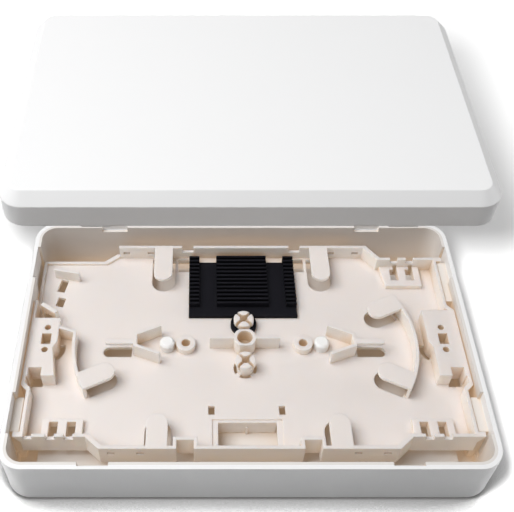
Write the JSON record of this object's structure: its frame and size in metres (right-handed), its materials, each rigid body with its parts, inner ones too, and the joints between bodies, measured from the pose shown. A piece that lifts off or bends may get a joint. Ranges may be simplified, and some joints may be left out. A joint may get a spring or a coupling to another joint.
{
  "type": "fibre distribution box",
  "caption": "Flat rectangular wall box for fibre-optic splices: an open shell with a moulded splice tray and a black comb inside, its bevelled cover lifted off behind.",
  "frame": {"origin": "centre of the base's flat back, which lies on the wall", "axes": "+Z out of the wall through the open side, +X to the right along the long side, -Y towards the long side that faces the viewer of the picture"},
  "size_m": [0.21, 0.2196, 0.1051],
  "materials": {
    "shell": "fine matt white",
    "tray": "satin cream",
    "comb": "black rubbery plastic",
    "pin": "white nylon"
  },
  "bodies": {
    "box": {"base_shell": "shell", "splice_tray": "tray", "splice_comb": "comb", "push_pin_left": "pin", "push_pin_right": "pin"},
    "lid": {"cover": "shell"}
  },
  "joints": [
    {"name": "cover_lift", "type": "slide", "parent": "box", "child": "lid", "axis": [0, 0.8146, 0.58], "range_m": [-0.1001, 0]}
  ]
}
